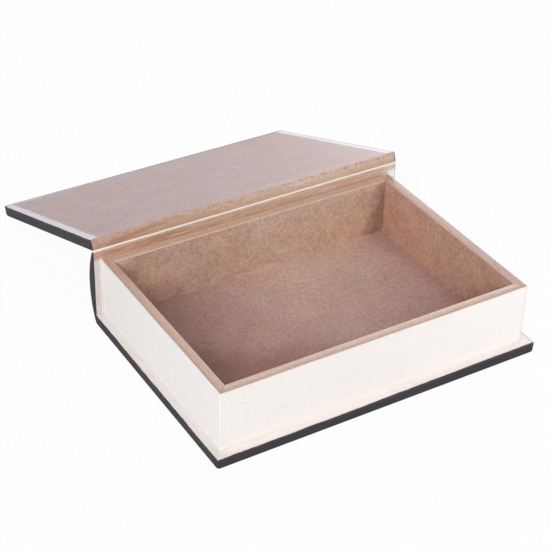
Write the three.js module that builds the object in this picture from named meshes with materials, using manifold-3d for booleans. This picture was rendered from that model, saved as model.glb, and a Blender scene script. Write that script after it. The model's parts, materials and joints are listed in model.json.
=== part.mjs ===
// Book-shaped storage box: a hinged MDF box dressed as a hardback book, standing open.
// Millimetres, +Z up. The origin is the centre of the bottom cover's underside.
// X runs along the spine, the fore-edge faces -Y and the spine is at +Y.
import * as THREE from 'three';
import { mergeVertices } from 'three/addons/utils/BufferGeometryUtils.js';
import Module from 'manifold-3d';

const wasm = await Module();
wasm.setup();

// Page block: the walls with their white page edges
const blockLength = 257;
const blockDepth = 181.5;
const blockHeight = 48.5;
const wallThickness = 7.2;
const pageEdgeThickness = 0.4;

// Covers: boards with leatherette on the outside
const boardThickness = 8.2;
const leatherThickness = 0.5;
const endOverhang = 6.5;
const foreEdgeOverhang = 8.2;
const coverEdgeRadius = 2;

// Spine moulding: flat inside, round outside, with a small sloping nose along its top and bottom
const spineBulge = 8.2;
const noseWidth = 1.2;
const noseDrop = 1.4;

// Hinge: a saw cut between lid and spine, bridged by the flexible covering.
// The lid's leatherette stops short of the cut, to leave room for the fold.
const kerf = 1.2;
const foldThickness = 0.4;
const lidCoverSetback = 0.8;

// Fits
const glueLine = 0.2;
const lidRestGap = 0.4;

// Smoothness of the round stretches
const edgeSegments = 6;
const spineSegments = 36;

// Sizes that follow from the ones above
const covering = glueLine + leatherThickness;
const facing = glueLine + pageEdgeThickness;
const coverThickness = covering + boardThickness;
const coverLength = blockLength + 2 * endOverhang;
const coverDepth = blockDepth + foreEdgeOverhang;
const boardLength = coverLength - 2 * covering;
const wallHeight = blockHeight - glueLine;
const noseSlope = Math.atan2(noseDrop, noseWidth);

// Places that follow from the sizes
const foreEdgeY = -coverDepth / 2;
const spineY = coverDepth / 2;
const blockFrontY = foreEdgeY + foreEdgeOverhang;
const rimTop = coverThickness + blockHeight;
const spineTop = rimTop + lidRestGap + boardThickness;
const spineFoot = covering / Math.cos(noseSlope);
const hingeY = spineY - kerf / 2;

// How far the lid turns from shut until its round front edge rests on the table.
// When shut, the centre of that round edge lies reach in front of the hinge line and rise above it.
function restingAngle(hingeHeight) {
  const reach = hingeY - foreEdgeY - coverEdgeRadius;
  const rise = spineTop + covering - coverEdgeRadius - hingeHeight;
  const drop = hingeHeight - coverEdgeRadius;
  return Math.PI + Math.asin(drop / Math.hypot(reach, rise)) - Math.atan2(rise, reach);
}

// The fold's free stretch lies flat over the cut when the lid is shut.
// When it is open, the stretch stands on the spine's edge, turned by half of the lid's angle.
// The hinge line is the one that suits both, so its height and the angle are settled together.
let openAngle = Math.PI;
let hingeZ = spineTop;
for (let pass = 0; pass < 5; pass += 1) {
  hingeZ = spineTop + (kerf / 2) * Math.tan(openAngle / 4);
  openAngle = restingAngle(hingeZ);
}

function mdf() {
  return new THREE.MeshStandardMaterial({ color: 0xb8967f, roughness: 0.85, metalness: 0 });
}

function leatherette() {
  return new THREE.MeshStandardMaterial({ color: 0x3a3839, roughness: 0.55, metalness: 0 });
}

function pageWhite() {
  return new THREE.MeshStandardMaterial({ color: 0xf3efe9, roughness: 0.8, metalness: 0 });
}

function creamCloth() {
  return new THREE.MeshStandardMaterial({ color: 0xf0dfd0, roughness: 0.9, metalness: 0 });
}

function toSolid(geometry) {
  const bare = geometry.clone();
  bare.deleteAttribute('normal');
  bare.deleteAttribute('uv');
  const merged = mergeVertices(bare, 1e-5);
  const mesh = new wasm.Mesh({
    numProp: 3,
    vertProperties: new Float32Array(merged.attributes.position.array),
    triVerts: new Uint32Array(merged.index.array),
  });
  return new wasm.Manifold(mesh);
}

function toGeometry(solid) {
  const mesh = solid.getMesh();
  const geometry = new THREE.BufferGeometry();
  geometry.setAttribute('position', new THREE.BufferAttribute(new Float32Array(mesh.vertProperties), 3));
  geometry.setIndex(new THREE.BufferAttribute(new Uint32Array(mesh.triVerts), 1));
  geometry.computeVertexNormals();
  return geometry;
}

// Extrudes an outline evenly to both sides of its plane
function extrude(outline, length, curveSegments) {
  const geometry = new THREE.ExtrudeGeometry(outline, { depth: length, bevelEnabled: false, curveSegments });
  return geometry.translate(0, 0, -length / 2);
}

// Turns an extrusion so that its outline lies in Y and Z and its length runs along X
function alongX(geometry) {
  const turn = new THREE.Matrix4();
  turn.makeBasis(new THREE.Vector3(0, 1, 0), new THREE.Vector3(0, 0, 1), new THREE.Vector3(1, 0, 0));
  return geometry.applyMatrix4(turn);
}

// Turns an extrusion so that its outline lies in X and Z and its length runs along Y
function alongY(geometry) {
  const turn = new THREE.Matrix4();
  turn.makeBasis(new THREE.Vector3(1, 0, 0), new THREE.Vector3(0, 0, 1), new THREE.Vector3(0, -1, 0));
  return geometry.applyMatrix4(turn);
}

// A rectangle that stands on the origin, with a round lower left corner
function sideOutline(depth, height, radius) {
  const outline = new THREE.Shape();
  outline.moveTo(0, height);
  outline.lineTo(0, radius);
  outline.absarc(radius, radius, radius, Math.PI, 1.5 * Math.PI, false);
  outline.lineTo(depth, 0);
  outline.lineTo(depth, height);
  outline.closePath();
  return outline;
}

// A rectangle centred over the origin, with both lower corners round
function frontOutline(length, height, radius) {
  const halfLength = length / 2;
  const outline = new THREE.Shape();
  outline.moveTo(-halfLength, height);
  outline.lineTo(-halfLength, radius);
  outline.absarc(radius - halfLength, radius, radius, Math.PI, 1.5 * Math.PI, false);
  outline.absarc(halfLength - radius, radius, radius, 1.5 * Math.PI, 2 * Math.PI, false);
  outline.lineTo(halfLength, height);
  outline.closePath();
  return outline;
}

// A slab from y = 0 back to y = depth and up from z = 0, its lower front and end edges round and mitred
function roundedSlab(length, depth, height, radius) {
  const side = alongX(extrude(sideOutline(depth, height, radius), length, edgeSegments));
  const front = alongY(extrude(frontOutline(length, height, radius), 2 * depth, edgeSegments));
  return toSolid(side).intersect(toSolid(front));
}

// The board of a cover, with its round edges down and its bare face up
function coverBoard(depth) {
  return toGeometry(roundedSlab(boardLength, depth, boardThickness, coverEdgeRadius - covering));
}

// A leatherette tray under a board and up its front and ends, open at the hinge side and on top
function coverTray(depth) {
  const pocketLength = coverLength - 2 * leatherThickness;
  const pocketRadius = coverEdgeRadius - leatherThickness;
  const outside = roundedSlab(coverLength, depth, coverThickness, coverEdgeRadius);
  const pocket = roundedSlab(pocketLength, depth, coverThickness, pocketRadius);
  return toGeometry(outside.subtract(pocket.translate([0, leatherThickness, leatherThickness])));
}

// A wall with its outer face on y = 0 and its inner face towards +Y.
// Its ends are mitred, each set back by half a glue line.
function mitredWall(length) {
  const outerEnd = length / 2 - glueLine / Math.SQRT2;
  const innerEnd = outerEnd - wallThickness;
  const outline = new THREE.Shape();
  outline.moveTo(-outerEnd, 0);
  outline.lineTo(outerEnd, 0);
  outline.lineTo(innerEnd, wallThickness);
  outline.lineTo(-innerEnd, wallThickness);
  outline.closePath();
  return extrude(outline, wallHeight, 1);
}

// The spine's section, grown outwards by offset, with its flat back moved to y = -backset.
// An arc runs between two straight noses, found where each nose line meets the grown circle.
function spineOutline(offset, backset) {
  const middle = (spineTop + spineFoot) / 2;
  const halfChord = middle - spineFoot - noseDrop;
  const sagitta = spineBulge - noseWidth;
  const arcRadius = (halfChord ** 2 + sagitta ** 2) / (2 * sagitta);
  const grownRadius = arcRadius + offset;
  const centreY = spineBulge - arcRadius;
  const tipRise = spineTop - middle + offset / Math.cos(noseSlope);
  const towardsCentre = centreY * Math.cos(noseSlope) + tipRise * Math.sin(noseSlope);
  const outsideTip = centreY ** 2 + tipRise ** 2 - grownRadius ** 2;
  const noseLength = towardsCentre + Math.sqrt(towardsCentre ** 2 - outsideTip);
  const cornerAngle = Math.asin((tipRise - noseLength * Math.sin(noseSlope)) / grownRadius);
  const outline = new THREE.Shape();
  outline.moveTo(0, middle + tipRise);
  if (backset > 0) {
    outline.lineTo(-backset, middle + tipRise);
    outline.lineTo(-backset, middle - tipRise);
  }
  outline.lineTo(0, middle - tipRise);
  outline.absarc(centreY, middle, grownRadius, -cornerAngle, cornerAngle, false);
  outline.closePath();
  return outline;
}

function spineMoulding() {
  return alongX(extrude(spineOutline(0, 0), boardLength, spineSegments));
}

// Leatherette round the spine's outside and over its ends, stopping where the top nose begins
function spineCover() {
  const pocketLength = coverLength - 2 * leatherThickness;
  const outside = alongX(extrude(spineOutline(covering, 0), coverLength, spineSegments));
  const pocket = alongX(extrude(spineOutline(glueLine, covering), pocketLength, spineSegments));
  const aboveNose = new THREE.BoxGeometry(2 * coverLength, 4 * spineBulge, 2 * noseDrop);
  aboveNose.translate(0, 0, spineTop);
  return toGeometry(toSolid(outside).subtract(toSolid(pocket)).subtract(toSolid(aboveNose)));
}

// The fold lies on the spine's top nose, turns up at the nose's edge and ends just under the lid's cut edge.
// Its outline starts from the edge of the spine, and its free stretch halves the angle of the open lid.
function hingeFold() {
  const lean = Math.PI - openAngle / 2;
  const up = new THREE.Vector2(Math.cos(lean), Math.sin(lean));
  const back = new THREE.Vector2(Math.sin(lean), -Math.cos(lean));
  const down = new THREE.Vector2(Math.cos(noseSlope), -Math.sin(noseSlope));
  const out = new THREE.Vector2(Math.sin(noseSlope), Math.cos(noseSlope));
  const noseLength = Math.hypot(noseWidth, noseDrop) - glueLine;
  const place = (origin, direction, distance) => origin.clone().addScaledVector(direction, distance);
  const edge = new THREE.Vector2();
  const innerCorner = place(edge, up, glueLine / up.dot(out));
  const outerReach = (glueLine + foldThickness - foldThickness * back.dot(out)) / up.dot(out);
  const outerCorner = place(place(edge, back, foldThickness), up, outerReach);
  const innerEnd = place(edge, up, kerf - glueLine);
  const innerFoot = place(place(edge, down, noseLength), out, glueLine);
  const outline = new THREE.Shape([
    innerFoot,
    place(innerFoot, out, foldThickness),
    outerCorner,
    place(innerEnd, back, foldThickness),
    innerEnd,
    innerCorner,
  ]);
  return alongX(extrude(outline, coverLength, 1));
}

function piece(name, geometry, material, x, y, z) {
  const mesh = new THREE.Mesh(geometry, material);
  mesh.name = name;
  mesh.position.set(x, y, z);
  return mesh;
}

function pageBlock() {
  const block = new THREE.Group();
  const halfLength = blockLength / 2;
  const wallsFront = blockFrontY + facing;
  const wallsBack = spineY - glueLine;
  const longWall = mitredWall(blockLength - 2 * facing);
  const shortWall = mitredWall(wallsBack - wallsFront);
  const wallsMiddle = (wallsFront + wallsBack) / 2;
  const front = piece('front_wall', longWall, mdf(), 0, wallsFront, 0);
  const rear = piece('rear_wall', longWall, mdf(), 0, wallsBack, 0);
  rear.rotation.z = Math.PI;
  const left = piece('left_wall', shortWall, mdf(), facing - halfLength, wallsMiddle, 0);
  left.rotation.z = -Math.PI / 2;
  const right = piece('right_wall', shortWall, mdf(), halfLength - facing, wallsMiddle, 0);
  right.rotation.z = Math.PI / 2;
  const frontEdge = new THREE.BoxGeometry(blockLength, pageEdgeThickness, wallHeight);
  const edgeFront = blockFrontY + pageEdgeThickness + glueLine;
  const sideEdge = new THREE.BoxGeometry(pageEdgeThickness, wallsBack - edgeFront, wallHeight);
  const sideX = halfLength - pageEdgeThickness / 2;
  const sideY = (edgeFront + wallsBack) / 2;
  block.add(
    front,
    rear,
    left,
    right,
    piece('front_page_edge', frontEdge, pageWhite(), 0, blockFrontY + pageEdgeThickness / 2, 0),
    piece('left_page_edge', sideEdge, pageWhite(), -sideX, sideY, 0),
    piece('right_page_edge', sideEdge, pageWhite(), sideX, sideY, 0),
  );
  block.position.z = rimTop - wallHeight / 2;
  return block;
}

// Modelled shut, measured from the hinge line, and then turned open.
// Both pieces are made round side down, so each is turned over about Y.
function lid() {
  const group = new THREE.Group();
  const frontY = foreEdgeY - hingeY;
  const boardTop = spineTop - hingeZ;
  const boardDepth = coverDepth - covering - kerf;
  const trayDepth = coverDepth - kerf - lidCoverSetback;
  const board = piece('lid_board', coverBoard(boardDepth), mdf(), 0, frontY + covering, boardTop);
  const tray = piece('lid_cover', coverTray(trayDepth), leatherette(), 0, frontY, boardTop + covering);
  board.rotation.y = Math.PI;
  tray.rotation.y = Math.PI;
  group.add(board, tray);
  group.position.set(0, hingeY, hingeZ);
  group.rotation.x = -openAngle;
  return group;
}

const box = new THREE.Group();
const baseBoard = coverBoard(coverDepth - covering - glueLine);
const baseTray = coverTray(coverDepth - glueLine);
box.add(
  piece('bottom_board', baseBoard, mdf(), 0, foreEdgeY + covering, covering),
  piece('base_cover', baseTray, leatherette(), 0, foreEdgeY, 0),
  pageBlock(),
  piece('spine_moulding', spineMoulding(), mdf(), 0, spineY, 0),
  piece('spine_cover', spineCover(), leatherette(), 0, spineY, 0),
  piece('hinge_fold', hingeFold(), creamCloth(), 0, spineY, spineTop),
  lid(),
);

export default box;
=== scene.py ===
"""Looks of a storage box shaped like a hardback book, standing open with its lid folded back.

Shapes are worked out in millimetres in the part's own frame, and become metres where a mesh is made.
"""
import json
import math

import bmesh
import bpy
import numpy as np
from mathutils import Matrix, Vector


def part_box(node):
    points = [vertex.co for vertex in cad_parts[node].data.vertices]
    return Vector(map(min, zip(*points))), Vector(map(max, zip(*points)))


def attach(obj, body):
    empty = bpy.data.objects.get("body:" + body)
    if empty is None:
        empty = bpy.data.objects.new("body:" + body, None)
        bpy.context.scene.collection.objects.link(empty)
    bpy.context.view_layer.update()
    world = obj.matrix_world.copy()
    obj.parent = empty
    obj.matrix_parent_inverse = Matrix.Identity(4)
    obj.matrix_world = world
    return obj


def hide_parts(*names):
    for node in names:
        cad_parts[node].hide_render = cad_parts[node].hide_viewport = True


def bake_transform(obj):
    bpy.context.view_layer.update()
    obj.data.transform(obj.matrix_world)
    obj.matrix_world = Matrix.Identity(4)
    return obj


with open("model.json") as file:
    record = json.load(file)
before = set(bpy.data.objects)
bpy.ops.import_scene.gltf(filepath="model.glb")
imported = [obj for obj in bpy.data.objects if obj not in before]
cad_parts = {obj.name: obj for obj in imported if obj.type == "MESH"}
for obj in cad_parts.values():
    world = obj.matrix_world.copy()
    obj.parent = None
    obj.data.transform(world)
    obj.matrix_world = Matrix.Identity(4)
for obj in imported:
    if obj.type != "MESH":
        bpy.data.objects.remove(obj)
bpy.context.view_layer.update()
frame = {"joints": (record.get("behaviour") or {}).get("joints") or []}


def corners(node):
    """Lowest and highest corner of a CAD node, in millimetres."""
    low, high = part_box(node)
    return np.array(low) * 1000, np.array(high) * 1000


# Leatherette on the boards, and the rounding of its edges
LEATHER = 0.5
COVERING = 0.7
EDGE_ROUND = 2.0
TOP_CORNER = 1.3
FOOT_CORNER = 3.2

# The leatherette's lip over the boards' edges: width, height, rounding, and how its edge strays
LIP = 0.95
LAP = 0.07
LIP_ARRIS = 0.2
LIP_GAP = 0.01
LIP_WAVE = 60
LIP_STRAY = 0.13

# Where the lid's leatherette rises towards the hinge, and the inner side's share of the rise
DIP_LENGTH = 1.2
INNER_DIP = 0.6

# Bare boards
BOARD_ROUND = EDGE_ROUND - COVERING
BOARD_ARRIS = 0.25
WALL_ARRIS = 0.35
MITRE_GAP = 0.05

# White page edges, and the waves combed along them: spacing and depth
PAGE_CORNER = 0.9
PAGE_SEAM = 1.2
COMB = ((1.31, 0.014), (0.87, 0.012), (2.3, 0.016), (0.58, 0.008))
COMB_FADE = 0.4

# Spine
SPINE_BULGE = 8.2
NOSE_WIDTH = 1.2
NOSE_DROP = 1.4
NOSE_SLOPE = math.atan2(NOSE_DROP, NOSE_WIDTH)
SPINE_ARRIS = 0.5

# Cloth hinge across the saw cut; each frayed lap has a width, the length of its longest wave, and a stray
KERF = 1.2
CLOTH_BACK = 0.3
CLOTH_PROUD = 0.07
SPINE_LAP = (0.22, 23, 0.07)
LID_LAP = (0.12, 31, 0.04)

# How finely lengths and curves are divided
PLAN_STEP = 3.0
BLOCK_STEP = 4.0
PAGE_STEP = 0.2
HINGE_STEP = 1.5
CUT_POINTS = 90
ROUND_POINTS = 6
ARC_POINTS = 60
PROFILE_POINTS = 90

# Measures taken from the CAD nodes
base_low, base_high = corners("base_cover")
board_low, board_high = corners("bottom_board")
front_low, front_high = corners("front_wall")
rear_low, rear_high = corners("rear_wall")
left_low, left_high = corners("left_wall")
page_low, page_high = corners("front_page_edge")
_, side_page_high = corners("right_page_edge")
spine_low, spine_high = corners("spine_moulding")

HALF_LENGTH = base_high[0]
HALF_BOARD = board_high[0]
FORE_EDGE = base_low[1]
LEDGE = board_high[2]
BOARD = board_high[2] - board_low[2]
RIM = front_high[2]
WALL = front_high[1] - front_low[1]
SPINE_Y = spine_low[1]
SPINE_FOOT = spine_low[2]
SPINE_TOP = spine_high[2]
BLOCK_HALF = page_high[0]
BLOCK_FRONT = page_low[1]
PAGE = page_high[1] - page_low[1]
INSIDE_HALF = -left_high[0]
INSIDE_REAR = rear_low[1]
LID_BACK = SPINE_Y - KERF
SHUT_TOP = SPINE_TOP + COVERING
INNER_FACE = SHUT_TOP - COVERING - BOARD
BLOCK_END = -left_low[0]
SHORT_HALF = (rear_high[1] - front_low[1]) / 2
SHORT_MIDDLE = (rear_high[1] + front_low[1]) / 2
LONG_WALLS = {"front": front_low[1], "rear": rear_high[1]}

joint = frame["joints"][0]
HINGE = np.array(joint["pos_m"]) * 1000
OPEN_ANGLE = math.radians(joint["range_deg"][1])
LEAN = math.pi - OPEN_ANGLE / 2


# Lines and surfaces

def wander(along, seed, longest, size, octaves=4):
    """A line that strays to both sides: waves of halving length and size, each with a seeded phase."""
    phases = np.random.default_rng(seed).uniform(0, 2 * np.pi, octaves)
    steps = 2.0 ** np.arange(octaves)
    turns = np.multiply.outer(np.asarray(along, float), 2 * np.pi * steps / longest)
    return size * (np.sin(turns + phases) / steps).sum(-1)


def quarter(count=ROUND_POINTS):
    """Sine and cosine of evenly spaced angles from nought to a right angle."""
    angle = np.linspace(0, np.pi / 2, count)
    return np.sin(angle), np.cos(angle)


def spread(low, high, step):
    """Evenly spaced numbers from low to high, about step apart."""
    return np.linspace(low, high, max(2, int(round(abs(high - low) / step)) + 1))


def evenly(line, count):
    """The same broken line with count points at even distances along it."""
    gone = np.concatenate([[0], np.cumsum(np.linalg.norm(np.diff(line, axis=0), axis=1))])
    at = np.linspace(0, gone[-1], count)
    return np.stack([np.interp(at, gone, line[:, k]) for k in range(line.shape[1])], axis=-1)


def softened(line, passes):
    """Each pass moves every point but the two ends half way to the middle of its neighbours."""
    for _ in range(passes):
        line = np.concatenate([line[:1], line[1:-1] / 2 + (line[:-2] + line[2:]) / 4, line[-1:]])
    return line


def grid(x, y, z):
    """Points from their three parts, each spread over the rows and columns of the others."""
    return np.stack(np.broadcast_arrays(x, y, z), axis=-1)


def closed(sections):
    """Sections whose last point is joined to their first."""
    return np.concatenate([sections, sections[:, :1]], axis=1)


def fan(ring, rows=2):
    """A flat cap: copies of a closed ring of points that shrink to its middle."""
    middle = ring.mean(axis=0)
    share = np.linspace(1, 0, rows)[:, None, None]
    return middle + (ring[None] - middle) * share


def hem(first, second):
    """A strip of faces between two lines of as many points."""
    return np.stack([first, second])


def sheet(outer, inner):
    """A closed sheet: its outer and inner grids, and hems between their four borders."""
    borders = [hem(outer[0], inner[0]), hem(outer[-1], inner[-1])]
    borders += [hem(outer[:, 0], inner[:, 0]), hem(outer[:, -1], inner[:, -1])]
    return [outer, inner, *borders]


def rounded_rectangle(left, right, low, high, radius, count=4):
    """Points round a rectangle with quarter circles for corners: centre plus radius times cosine and sine."""
    turn = np.linspace(0, np.pi / 2, count) + np.arange(4)[:, None] * np.pi / 2
    centre_x = np.array([right, left, left, right]) + radius * np.array([-1, 1, 1, -1])
    centre_z = np.array([high, high, low, low]) + radius * np.array([-1, -1, 1, 1])
    x = centre_x[:, None] + radius * np.cos(turn)
    z = centre_z[:, None] + radius * np.sin(turn)
    return np.stack([x.ravel(), z.ravel()], axis=-1)


def u_path(half, front, back, inset, corner, along, across):
    """A U-shaped plan: up the left side, round a front corner, along the front, and back the same way.

    For each inset, the side stands at half less inset and the front at front plus inset. The corner between
    them is a quarter circle of radius corner less inset, or a point. Rows follow the path, columns the
    insets. Along and across are shares of the way along a side and along half the front.
    """
    radius = np.maximum(corner - inset, 0)
    side_x = inset - half
    bend_y = front + inset + radius
    s, c = quarter()
    side_y = back + along[:, None] * (bend_y - back)
    side = np.stack([side_x + 0 * side_y, side_y], axis=-1)
    bend = np.stack([side_x + radius * (1 - c[:, None]), bend_y - radius * s[:, None]], axis=-1)
    level_x = (side_x + radius) * (1 - across[:, None])
    level = np.stack([level_x, front + inset + 0 * level_x], axis=-1)
    left = np.concatenate([side, bend, level])
    return np.concatenate([left, left[-2::-1] * (-1, 1)])


def plan_corner(z):
    """Radius of a cover's upright corners at a height: it grows with the fourth power of the way down."""
    return TOP_CORNER + (FOOT_CORNER - TOP_CORNER) * np.clip(1 - z / (COVERING + BOARD), 0, 1) ** 4


def stations(depth, half, fine):
    """Places along a side, as shares from the back, fine near it, and along half the front, as shares."""
    near = np.array(fine) / depth
    side = np.concatenate([near, spread(near[-1], 1, PLAN_STEP / depth)[1:-1]])
    return side, spread(0, 1, PLAN_STEP / half)[1:]


# Meshes

def faces_of(rows, columns, first):
    """Quads between neighbouring rows and columns of points that are stored row by row from first on."""
    index = first + np.arange(rows * columns).reshape(rows, columns)
    quads = [index[:-1, :-1], index[:-1, 1:], index[1:, 1:], index[1:, :-1]]
    return np.stack(quads, axis=-1).reshape(-1, 4)


def weld(name, patches, turned=None, crease=35):
    """A closed mesh from grids of points in millimetres: doubles are merged and faces point outwards.

    The attribute place keeps each point as it is before the lid is turned open, for the materials.
    """
    places = np.concatenate([patch.reshape(-1, 3) for patch in patches])
    points = (turned(places) if turned else places) / 1000
    first = np.cumsum([0] + [patch.shape[0] * patch.shape[1] for patch in patches])
    faces = np.concatenate([faces_of(*patch.shape[:2], start) for patch, start in zip(patches, first)])
    mesh = bpy.data.meshes.new(name)
    mesh.vertices.add(len(points))
    mesh.vertices.foreach_set("co", points.ravel())
    mesh.loops.add(faces.size)
    mesh.loops.foreach_set("vertex_index", faces.ravel().astype(np.int32))
    mesh.polygons.add(len(faces))
    mesh.polygons.foreach_set("loop_start", np.arange(0, faces.size, 4, dtype=np.int32))
    mesh.update(calc_edges=True)
    place = mesh.attributes.new("place", "FLOAT_VECTOR", "POINT")
    place.data.foreach_set("vector", places.ravel())
    shape = bmesh.new()
    shape.from_mesh(mesh)
    bmesh.ops.remove_doubles(shape, verts=shape.verts, dist=4e-6)
    bmesh.ops.dissolve_degenerate(shape, edges=shape.edges, dist=1e-6)
    bmesh.ops.recalc_face_normals(shape, faces=shape.faces)
    shape.to_mesh(mesh)
    shape.free()
    mesh.polygons.foreach_set("use_smooth", np.ones(len(mesh.polygons), bool))
    mesh.set_sharp_from_angle(angle=math.radians(crease))
    piece = bpy.data.objects.new(name, mesh)
    bpy.context.scene.collection.objects.link(piece)
    return piece


def settle(piece, finish, slot, body, *nodes):
    """Gives a piece its material, lets it ride on a body, and hides the CAD nodes it stands for."""
    piece.data.materials.append(finish)
    if body:
        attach(piece, body)
    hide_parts(*nodes)


def turned_open(points):
    """The lid's points, turned about the hinge line from where they are when it is shut."""
    y, z = points[..., 1] - HINGE[1], points[..., 2] - HINGE[2]
    c, s = math.cos(OPEN_ANGLE), math.sin(OPEN_ANGLE)
    return np.stack([points[..., 0], HINGE[1] + y * c + z * s, HINGE[2] + z * c - y * s], axis=-1)


def upside_down(patches):
    """A cover made round side down becomes the lid of the shut box: its heights are counted from the top."""
    flip = np.array([1, 1, -1])
    return [patch * flip + np.array([0, 0, SHUT_TOP]) for patch in patches]


# Boards and their leatherette

def board_slab(back):
    """A cover board, round side down: a closed plan carried up a profile, round below, nearly sharp above."""
    s, c = quarter()
    inset = np.concatenate([BOARD_ROUND * (1 - s), BOARD_ARRIS * (1 - c)])
    stand_in = np.concatenate([0 * s, BOARD_ARRIS * (1 - c)])
    z = COVERING + np.concatenate([BOARD_ROUND * (1 - c), BOARD - BOARD_ARRIS * (1 - s)])
    front = FORE_EDGE + COVERING
    along, across = stations(back - front, HALF_BOARD, [0, 1])
    plan = u_path(HALF_BOARD, front, back - stand_in, inset, plan_corner(z) - COVERING, along, across)
    cut = plan[-1] + np.linspace(0, 1, CUT_POINTS)[1:, None, None] * (plan[0] - plan[-1])
    plan = np.concatenate([plan, cut])
    sides = np.concatenate([plan, np.broadcast_to(z[:, None], plan.shape[:2] + (1,))], axis=-1)
    return [sides, fan(sides[:, 0], 3), fan(sides[:, -1], 3)]


def leather_tray(seed, back_sheet, back_wall, dip, front_lap, right_lap):
    """A leatherette tray, round side down: a section carried along a U-shaped plan, open at the back.

    The outer line of the section runs from the middle of the underside round the lower edge up to a thin lip
    that laps over the board, and the inner line follows it inside. The lip's edge strays. Along the front,
    the lip is wider by front_lap, and towards the right end by up to right_lap more. Near the back, the sheet
    rises by dip times the square of how near it is, where the lid's leatherette thins into the hinge.
    """
    s, c = quarter(8)
    arris_s, arris_c = quarter(4)
    flat = np.linspace(HALF_LENGTH, EDGE_ROUND, 6)[:-1]
    lip_top = base_high[2] + LAP
    outer_inset = [flat, EDGE_ROUND * (1 - s), LIP_ARRIS * (1 - arris_c), [LIP]]
    outer_z = [0 * flat, EDGE_ROUND * (1 - c), lip_top - LIP_ARRIS * (1 - arris_s), [lip_top]]
    inner_round = EDGE_ROUND - LEATHER
    upright = np.linspace(base_high[2] / 2, base_high[2] + LIP_GAP, len(arris_s))
    inner_inset = [flat, LEATHER + inner_round * (1 - s), LEATHER + 0 * upright, [LIP]]
    inner_z = [LEATHER + 0 * flat, LEATHER + inner_round * (1 - c), upright, upright[-1:]]
    arris_foot = len(flat) + len(s)
    along, across = stations(back_sheet - FORE_EDGE, HALF_LENGTH, [0, 0.3, 0.6, 0.9, DIP_LENGTH])
    grids = []
    for insets, heights, share in ((outer_inset, outer_z, 1.0), (inner_inset, inner_z, INNER_DIP)):
        inset, z = np.concatenate(insets), np.concatenate(heights)
        on_lip = np.zeros(len(inset))
        on_lip[-1] = 1
        climb = np.clip(z / EDGE_ROUND, 0, 1)
        back = back_sheet + (back_wall - back_sheet) * climb
        plan = u_path(HALF_LENGTH, FORE_EDGE, back, inset, plan_corner(z), along, across)
        wider = u_path(HALF_LENGTH, FORE_EDGE, back, inset + on_lip, plan_corner(z), along, across)
        edge = plan[:, arris_foot]
        gone = np.concatenate([[0], np.cumsum(np.linalg.norm(np.diff(edge, axis=0), axis=1))])
        at_front = np.clip(2 - (edge[:, 1] - FORE_EDGE) / EDGE_ROUND, 0, 1)
        wider_by = at_front * (front_lap + right_lap * np.clip(edge[:, 0] / HALF_LENGTH, 0, 1))
        wider_by = wider_by + wander(gone, seed, LIP_WAVE, LIP_STRAY)
        plan = plan + (wider - plan) * wider_by[:, None, None]
        near = np.clip(1 - (back_sheet - plan[..., 1]) / DIP_LENGTH, 0, 1)
        height = z + share * dip * near ** 2 * (1 - climb)
        grids.append(np.concatenate([plan, height[..., None]], axis=-1))
    outer, inner = grids
    hems = [hem(outer[:, -1], inner[:, -1]), hem(outer[0], inner[0]), hem(outer[-1], inner[-1])]
    return [outer, inner, *hems]


# Page block

def mitred_wall(outer_end):
    """A wall with its outer face on y = 0: a rounded rectangle carried along X between mitred ends.

    At depth d behind its outer face it reaches outer_end less d to both sides.
    """
    ring = rounded_rectangle(0, WALL, LEDGE, RIM, WALL_ARRIS)
    x = spread(-1, 1, BLOCK_STEP / outer_end)[:, None] * (outer_end - ring[:, 0])
    sections = closed(grid(x, ring[:, 0], ring[:, 1]))
    return [sections, fan(sections[0]), fan(sections[-1])]


TURNS = {"front": (1, 0), "right": (0, 1), "rear": (-1, 0), "left": (0, -1)}


def facing(side, patches, x, y):
    """Turns patches that face -Y to face another side of the block, by the cosine and sine of the turn.

    The middle of their outer face comes to x and y.
    """
    c, s = TURNS[side]
    turned = []
    for patch in patches:
        across, depth, z = np.moveaxis(patch, -1, 0)
        turned.append(np.stack([x + c * across - s * depth, y + s * across + c * depth, z], axis=-1))
    return turned


def combing(along, height, seed):
    """Depth of the lines combed along a page edge: a sum of waves up its height that stray along it."""
    depth = 0
    for row, (spacing, size) in enumerate(COMB):
        stray = wander(along, seed + row, 180, 0.3)
        swell = 1 + wander(along, seed + 10 + row, 90, 0.3)
        depth = depth + size * swell * np.sin(2 * np.pi * (height + stray) / spacing + row)
    return depth


def page_line(half, corner, depth):
    """Plan line of a page edge at a depth behind its face, and how much of the relief each point takes.

    It runs straight along X, and each end turns back by a quarter circle of radius corner less depth.
    """
    s, c = quarter()
    radius = max(corner - depth, 0)
    straight = spread(0, half - corner, BLOCK_STEP)[:-1]
    x = np.concatenate([straight, half - corner + radius * s])
    y = np.concatenate([depth + 0 * straight, depth + radius * (1 - c)])
    give = np.concatenate([1 + 0 * straight, c])
    right = np.stack([x, y, give], axis=-1)
    return np.concatenate([right[::-1] * (-1, 1, 1), right[1:]])


def page_edge(half, seed, corner):
    """A combed facing with its face on y = 0: plan lines stacked up its height, with relief on the face."""
    z = spread(LEDGE, RIM, PAGE_STEP)[:, None]
    face, rear = page_line(half, corner, 0), page_line(half, corner, PAGE)
    fading = np.clip(np.minimum(z - LEDGE, RIM - z) / COMB_FADE, 0, 1)
    relief = combing(face[:, 0], z, seed) * fading * face[:, 2]
    outer = grid(face[:, 0], face[:, 1] - relief, z)
    inner = grid(rear[:, 0], rear[:, 1], z)
    return sheet(outer, inner)


# Spine

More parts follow.
